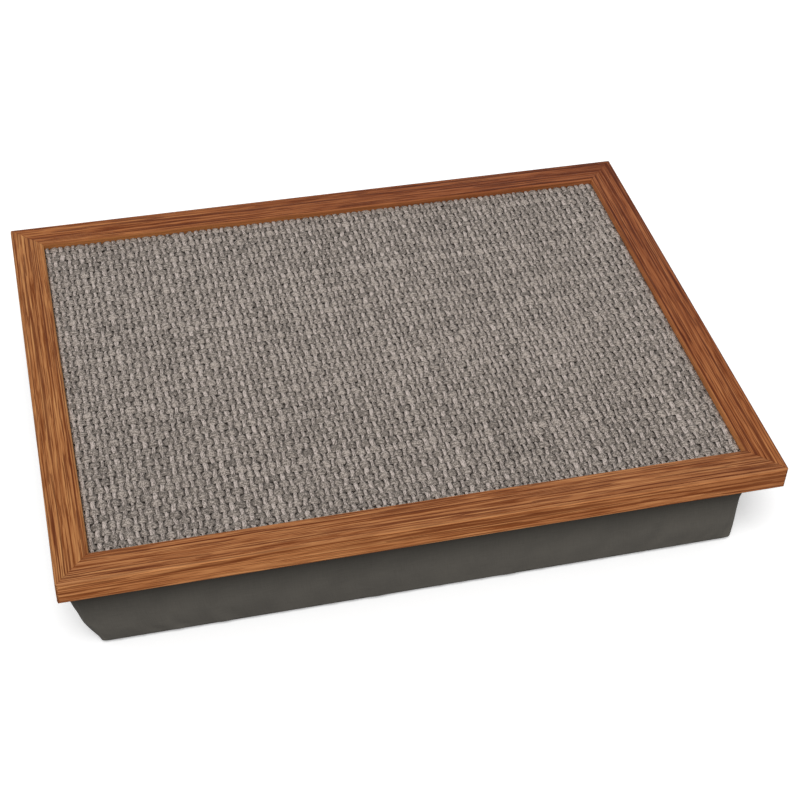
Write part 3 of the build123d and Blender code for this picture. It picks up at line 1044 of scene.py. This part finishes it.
def cushionMaterial(seamHeights):
    material, tree, shader = newMaterial("cushion_cloth")
    lay = addNode(tree, "ShaderNodeTexCoord").outputs
    weave = sineGrid(tree, lay["UV"], cushionSetup["threadPitch"])
    slub = noiseOf(tree, lay["UV"], (90, 1500, 1), 2.0, 0.6)
    slubAcross = noiseOf(tree, lay["UV"], (1500, 90, 1), 2.0, 0.6, shift=(5, 1, 0))
    clouds = noiseOf(tree, lay["Object"], (14, 14, 14), 3.0, 0.6)
    tone = weighed(tree, (slub, 0.24), (slubAcross, 0.24), (clouds, 0.42), (weave, 0.03))
    colour = rampOf(tree, tone, [
        (0.3, screenColour(99, 95, 89)),
        (0.45, screenColour(107, 103, 96)),
        (0.62, screenColour(115, 110, 102)),
    ])

    # painted shade: the cloth grows darker towards the frame above it, and a thin line of painted shade
    # runs in the crease where two cloths meet
    clothShadeColour = screenColour(34, 32, 29)
    height = partsOf(tree, lay["Object"])[2]
    paintedFrameShade = rangeOf(tree, height, cushionSetup["frameShadeFrom"], max(seamHeights))
    colour = laidOver(tree, colour, paintedFrameShade, cushionSetup["paintedFrameShade"], clothShadeColour)
    for seamHeight in seamHeights:
        offSeam = mathOf(tree, "ABSOLUTE", mathOf(tree, "SUBTRACT", height, seamHeight))
        # a thin line of painted shade in each seam's crease
        line = rangeOf(tree, offSeam, 1.1 * mm, 0.4 * mm, 0.0, 0.6)
        colour = mixColours(tree, line, colour, clothShadeColour)
    roughness = roughOf(tree, slub, 0.92, 0.78)
    relief = weighed(tree, (weave, 0.35), (slub, 0.5), (slubAcross, 0.5))
    normal = bumpOf(tree, relief, 0.06 * mm, 0.6)
    setShader(tree, shader, colour, roughness, normal, Specular_IOR_Level=0.1, Sheen_Weight=0.03)
    return material


def readPoints(mesh):
    points = np.zeros(len(mesh.vertices) * 3)
    mesh.vertices.foreach_get("co", points)
    return points.reshape(-1, 3)


def swell(piece, heldPoints):
    # air pressure rounds the cloth between its seams, no further than the cap
    start = readPoints(piece.data)
    group = piece.vertex_groups.new(name="held")
    group.add(heldPoints.tolist(), 1.0, "REPLACE")
    cloth = piece.modifiers.new("swell", "CLOTH")
    settings = cloth.settings
    settings.quality = 6
    settings.mass = 0.25
    settings.tension_stiffness = 12
    settings.compression_stiffness = 12
    settings.bending_stiffness = 0.4
    settings.shrink_min = -0.012
    settings.use_pressure = True
    settings.uniform_pressure_force = 4
    settings.vertex_group_mass = "held"
    settings.effector_weights.gravity = 0
    scene = bpy.context.scene
    for number in range(cushionSetup["simulatedFrames"]):
        scene.frame_set(number + 1)
    shaped = piece.evaluated_get(bpy.context.evaluated_depsgraph_get())
    moved = readPoints(shaped.to_mesh()) - start
    shaped.to_mesh_clear()
    piece.modifiers.remove(cloth)
    scene.frame_set(1)
    length = np.linalg.norm(moved, axis=1, keepdims=True)
    moved *= np.minimum(1, cushionSetup["mostSwell"] / np.maximum(length, 1e-9))
    return start + moved


def pullSeams(ring, bottomSeam, topSeam):
    # seams are drawn in, and the cloth puckers above the bottom one
    middle = np.array([ring[bottomSeam, :, 0].mean(), 0, 0])
    outward = (ring - middle) * (1, 1, 0)
    outward /= np.linalg.norm(outward, axis=-1, keepdims=True)
    seams = [bottomSeam, topSeam]
    ring[seams] -= outward[seams] * cushionSetup["seamPull"]
    steps = np.diff(ring[bottomSeam], axis=0, append=ring[bottomSeam, :1])
    run = np.cumsum(np.linalg.norm(steps, axis=-1))
    pitches = round(run[-1] / cushionSetup["puckerPitch"])
    pucker = np.cos(run / run[-1] * pitches * 2 * math.pi) * cushionSetup["puckerDepth"]
    for offset, share in ((1, 1.0), (2, 0.7), (3, 0.3)):
        ring[bottomSeam + offset] += outward[bottomSeam + offset] * (pucker * share)[:, None]


def creaseSeams(mesh, ringOf, bottomSeam, topSeam):
    # creased seams stay crisp under the subdivision
    ends = np.zeros(len(mesh.edges) * 2, int)
    mesh.edges.foreach_get("vertices", ends)
    first, second = ringOf[ends.reshape(-1, 2)].T
    onSeam = (first == second) & ((first == bottomSeam) | (first == topSeam))
    crease = mesh.attributes.new("crease_edge", "FLOAT", "EDGE")
    crease.data.foreach_set("value", np.where(onSeam, cushionSetup["seamCrease"], 0.0))


def addCushion():
    vertices, faces, uv, (bottomSeam, topSeam), around, ringCount = cushionSurface()
    cloth = cushionMaterial(vertices[[bottomSeam * around, topSeam * around], 2].tolist())
    cushion = addPiece("cushion_cover", vertices, faces.tolist(), cloth, "cushion")
    mesh = cushion.data
    layer = mesh.uv_layers.new(name="lay")
    layer.data.foreach_set("uv", uv.ravel())
    ringed = ringCount * around
    ringOf = np.full(len(vertices), -1)
    ringOf[:ringed] = np.repeat(np.arange(ringCount), around)
    free = (ringOf > bottomSeam) & (ringOf < topSeam)
    points = vertices
    points = swell(cushion, np.flatnonzero(~free))
    print("cushion swelled by up to %.1f mm" % (np.abs(points - vertices).max() / mm))

    pullSeams(points[:ringed].reshape(ringCount, around, 3), bottomSeam, topSeam)
    points[:, 2] = np.maximum(points[:, 2], 0)
    mesh.vertices.foreach_set("co", points.ravel())
    creaseSeams(mesh, ringOf, bottomSeam, topSeam)
    mesh.update()
    smooth = cushion.modifiers.new("smooth", "SUBSURF")
    smooth.levels = 1
    smooth.render_levels = 1
    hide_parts("cushion_bottom_panel", "cushion_side_band", "cushion_top_panel", "bead_filling")
    print("cushion made:", len(vertices), "points")


placeCamera()
lightRoom()
layFloor()
finishRails()
addWeave()
finishHiddenParts()
addCushion()
